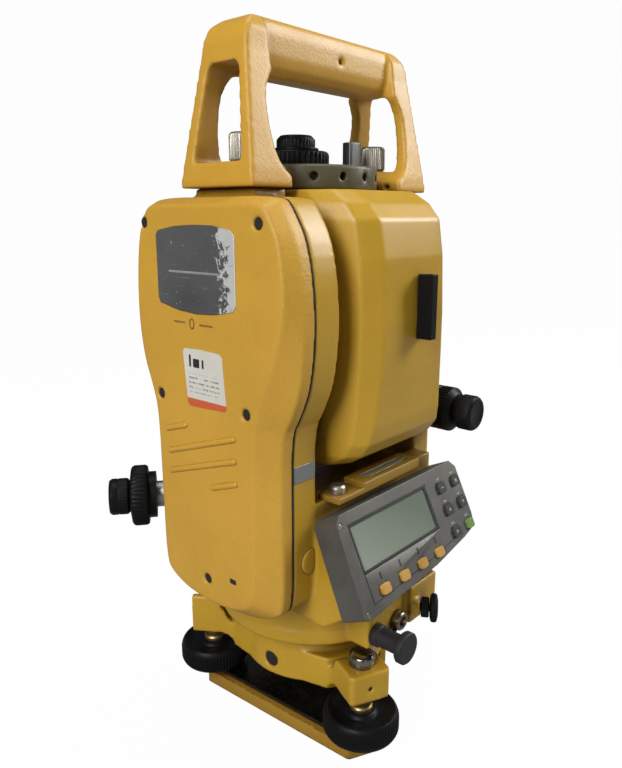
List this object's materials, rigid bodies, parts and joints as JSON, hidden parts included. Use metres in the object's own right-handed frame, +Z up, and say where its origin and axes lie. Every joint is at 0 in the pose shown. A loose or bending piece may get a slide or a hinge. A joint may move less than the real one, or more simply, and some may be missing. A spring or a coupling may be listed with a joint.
{
  "type": "surveying total station",
  "caption": "Surveying total station with tilting telescope between two standards, sloping display, carrying handle and levelling tribrach.",
  "frame": {"origin": "centre of the underside of the tribrach base plate, on the vertical axis", "axes": "+Z up along the vertical axis, -Y towards the observer at the display, +X along the trunnion axis towards the battery side"},
  "size_m": [0.1628, 0.1444, 0.336],
  "materials": {
    "casting_yellow": "satin lemon yellow enamel",
    "cover_orange": "fine pebbled orange yellow enamel",
    "chipped_yellow": "worn, chipped enamel",
    "dark_steel": "dark oiled",
    "steel": "fine turned",
    "chrome": "polished, scuffed",
    "brass": "turned, dull",
    "alu": "turned",
    "knob_black": "satin black",
    "glass": "clear",
    "vial": "clear, green fluid",
    "lens": "coated",
    "display_grey": "dark grey satin",
    "lcd": "grey green display",
    "board": "green circuit board",
    "soft_key": "orange rubber",
    "dark_key": "black rubber",
    "green_key": "green rubber",
    "plate_grey": "worn foil",
    "end_grey": "olive grey satin",
    "cap_rubber": "dark rubber"
  },
  "bodies": {
    "tribrach": {"base_plate": "chipped_yellow", "spring_plate": "dark_steel", "tribrach_body": "casting_yellow", "levelling_caps": "chrome", "circular_level_cup": "alu", "circular_level_glass": "vial", "instrument_base": "casting_yellow", "horizontal_circle": "glass"},
    "lock_lever": {"tribrach_lock_lever": "knob_black"},
    "lock_ring": {"tribrach_lock_ring": "steel"},
    "alidade": {"alidade_frame": "casting_yellow", "vertical_axis_shaft": "steel", "side_cover": "cover_orange", "case_screws": "dark_steel", "name_plate": "plate_grey", "plate_level_holder": "casting_yellow", "plate_level_vial": "vial", "plate_level_screw": "steel", "trunnion_bearings": "brass", "display_housing": "display_grey", "lcd_window": "lcd", "main_board": "board", "connector_barrels": "chrome", "plummet_tube": "alu"},
    "connector_cap": {"power_connector_cap": "cap_rubber"},
    "vertical_clamp": {"vertical_clamp_ring": "knob_black"},
    "vertical_tangent": {"vertical_tangent_knob": "knob_black"},
    "horizontal_clamp": {"horizontal_clamp_ring": "knob_black"},
    "horizontal_tangent": {"horizontal_tangent_knob": "knob_black"},
    "plummet_focus": {"plummet_focus_ring": "knob_black"},
    "plummet_eye": {"plummet_eyepiece": "knob_black"},
    "battery": {"battery_pack": "cover_orange"},
    "latch": {"battery_latch": "knob_black"},
    "telescope": {"telescope_housing": "casting_yellow", "trunnion_axle": "steel", "vertical_circle": "glass", "objective_lens": "lens", "telescope_end_plate": "end_grey", "sight_collimators": "knob_black"},
    "focusing": {"focusing_ring": "knob_black"},
    "eyepiece_body": {"eyepiece": "knob_black"},
    "handle_body": {"handle": "cover_orange"},
    "thumb_screw_left": {"handle_screw_left": "steel"},
    "thumb_screw_right": {"handle_screw_right": "steel"},
    "levelling_screw_front": {"levelling_spindle_front": "brass", "levelling_knob_front": "knob_black"},
    "levelling_screw_left": {"levelling_spindle_left": "brass", "levelling_knob_left": "knob_black"},
    "levelling_screw_right": {"levelling_spindle_right": "brass", "levelling_knob_right": "knob_black"},
    "soft_button_1": {"soft_key_1": "soft_key"},
    "soft_button_2": {"soft_key_2": "soft_key"},
    "soft_button_3": {"soft_key_3": "soft_key"},
    "soft_button_4": {"soft_key_4": "soft_key"},
    "menu_button_1": {"menu_key_1": "dark_key"},
    "menu_button_2": {"menu_key_2": "dark_key"},
    "menu_button_3": {"menu_key_3": "dark_key"},
    "menu_button_4": {"menu_key_4": "dark_key"},
    "menu_button_5": {"menu_key_5": "dark_key"},
    "power_button": {"power_key": "green_key"}
  },
  "joints": [
    {"name": "levelling_turn_front", "type": "hinge", "parent": "tribrach", "child": "levelling_screw_front", "pos_m": [-0.02441, -0.05118, 0.02], "axis": [0, 0, 1], "range_deg": [-720, 720]},
    {"name": "levelling_turn_left", "type": "hinge", "parent": "tribrach", "child": "levelling_screw_left", "pos_m": [-0.03211, 0.04673, 0.02], "axis": [0, 0, 1], "range_deg": [-720, 720]},
    {"name": "levelling_turn_right", "type": "hinge", "parent": "tribrach", "child": "levelling_screw_right", "pos_m": [0.05652, 0.00445, 0.02], "axis": [0, 0, 1], "range_deg": [-720, 720]},
    {"name": "lock_lever_turn", "type": "hinge", "parent": "tribrach", "child": "lock_lever", "pos_m": [0.04562, 0.03897, 0.0435], "axis": [0.7604, 0.6494, 0], "range_deg": [0, 180]},
    {"name": "lock_ring_turn", "type": "hinge", "parent": "tribrach", "child": "lock_ring", "pos_m": [0, 0, 0.043], "axis": [0, 0, 1], "range_deg": [0, 36]},
    {"name": "alidade_rotation", "type": "hinge", "parent": "tribrach", "child": "alidade", "pos_m": [0, 0, 0.06], "axis": [0, 0, 1], "continuous": true},
    {"name": "telescope_tilt", "type": "hinge", "parent": "alidade", "child": "telescope", "pos_m": [0, 0, 0.214], "axis": [1, 0, 0], "continuous": true},
    {"name": "focusing_turn", "type": "hinge", "parent": "telescope", "child": "focusing", "pos_m": [0, 0.012, 0.283], "axis": [0, 0, 1], "range_deg": [-160, 160]},
    {"name": "eyepiece_turn", "type": "hinge", "parent": "focusing", "child": "eyepiece_body", "pos_m": [0, 0.012, 0.29], "axis": [0, 0, 1], "range_deg": [-180, 180]},
    {"name": "vertical_clamp_turn", "type": "hinge", "parent": "alidade", "child": "vertical_clamp", "pos_m": [0.059, -0.045, 0.157], "axis": [0, -1, 0], "range_deg": [0, 60]},
    {"name": "vertical_tangent_turn", "type": "hinge", "parent": "alidade", "child": "vertical_tangent", "pos_m": [0.059, -0.055, 0.157], "axis": [0, -1, 0], "range_deg": [-1080, 1080]},
    {"name": "horizontal_clamp_turn", "type": "hinge", "parent": "alidade", "child": "horizontal_clamp", "pos_m": [0.01215, -0.06224, 0.0673], "axis": [0.5299, -0.848, 0], "range_deg": [0, 60]},
    {"name": "horizontal_tangent_turn", "type": "hinge", "parent": "alidade", "child": "horizontal_tangent", "pos_m": [0.0148, -0.06648, 0.0673], "axis": [0.5299, -0.848, 0], "range_deg": [-1080, 1080]},
    {"name": "plummet_focus_turn", "type": "hinge", "parent": "alidade", "child": "plummet_focus", "pos_m": [-0.07092, 0.05541, 0.121], "axis": [-0.788, 0.6157, 0], "range_deg": [-120, 120]},
    {"name": "plummet_eyepiece_turn", "type": "hinge", "parent": "plummet_focus", "child": "plummet_eye", "pos_m": [-0.0788, 0.06157, 0.121], "axis": [-0.788, 0.6157, 0], "range_deg": [-180, 180]},
    {"name": "soft_key_press_1", "type": "slide", "parent": "alidade", "child": "soft_button_1", "axis": [0, 0.9003, -0.4352], "range_m": [0, 0.0008], "stiffness_N_per_m": 800},
    {"name": "soft_key_press_2", "type": "slide", "parent": "alidade", "child": "soft_button_2", "axis": [0, 0.9003, -0.4352], "range_m": [0, 0.0008], "stiffness_N_per_m": 800},
    {"name": "soft_key_press_3", "type": "slide", "parent": "alidade", "child": "soft_button_3", "axis": [0, 0.9003, -0.4352], "range_m": [0, 0.0008], "stiffness_N_per_m": 800},
    {"name": "soft_key_press_4", "type": "slide", "parent": "alidade", "child": "soft_button_4", "axis": [0, 0.9003, -0.4352], "range_m": [0, 0.0008], "stiffness_N_per_m": 800},
    {"name": "menu_key_press_1", "type": "slide", "parent": "alidade", "child": "menu_button_1", "axis": [0, 0.9003, -0.4352], "range_m": [0, 0.0008], "stiffness_N_per_m": 800},
    {"name": "menu_key_press_2", "type": "slide", "parent": "alidade", "child": "menu_button_2", "axis": [0, 0.9003, -0.4352], "range_m": [0, 0.0008], "stiffness_N_per_m": 800},
    {"name": "menu_key_press_3", "type": "slide", "parent": "alidade", "child": "menu_button_3", "axis": [0, 0.9003, -0.4352], "range_m": [0, 0.0008], "stiffness_N_per_m": 800},
    {"name": "menu_key_press_4", "type": "slide", "parent": "alidade", "child": "menu_button_4", "axis": [0, 0.9003, -0.4352], "range_m": [0, 0.0008], "stiffness_N_per_m": 800},
    {"name": "menu_key_press_5", "type": "slide", "parent": "alidade", "child": "menu_button_5", "axis": [0, 0.9003, -0.4352], "range_m": [0, 0.0008], "stiffness_N_per_m": 800},
    {"name": "power_key_press", "type": "slide", "parent": "alidade", "child": "power_button", "axis": [0, 0.9003, -0.4352], "range_m": [0, 0.0008], "stiffness_N_per_m": 800},
    {"name": "battery_slide", "type": "slide", "parent": "alidade", "child": "battery", "axis": [1, 0, 0], "range_m": [0, 0.04]},
    {"name": "battery_latch_slide", "type": "slide", "parent": "battery", "child": "latch", "axis": [0, 0, 1], "range_m": [0, 0.0015]},
    {"name": "connector_cap_slide", "type": "slide", "parent": "alidade", "child": "connector_cap", "axis": [0, -1, 0], "range_m": [0, 0.013]},
    {"name": "handle_lift", "type": "slide", "parent": "alidade", "child": "handle_body", "axis": [0, 0, 1], "range_m": [0, 0.03]},
    {"name": "handle_screw_turn_left", "type": "hinge", "parent": "handle_body", "child": "thumb_screw_left", "pos_m": [-0.046, 0, 0.28], "axis": [0, 0, 1], "range_deg": [-720, 720]},
    {"name": "handle_screw_turn_right", "type": "hinge", "parent": "handle_body", "child": "thumb_screw_right", "pos_m": [0.046, 0, 0.28], "axis": [0, 0, 1], "range_deg": [-720, 720]}
  ],
  "couplings": [
    {"joint": "lock_lever_turn", "follows": "lock_ring_turn", "ratio": 5}
  ]
}
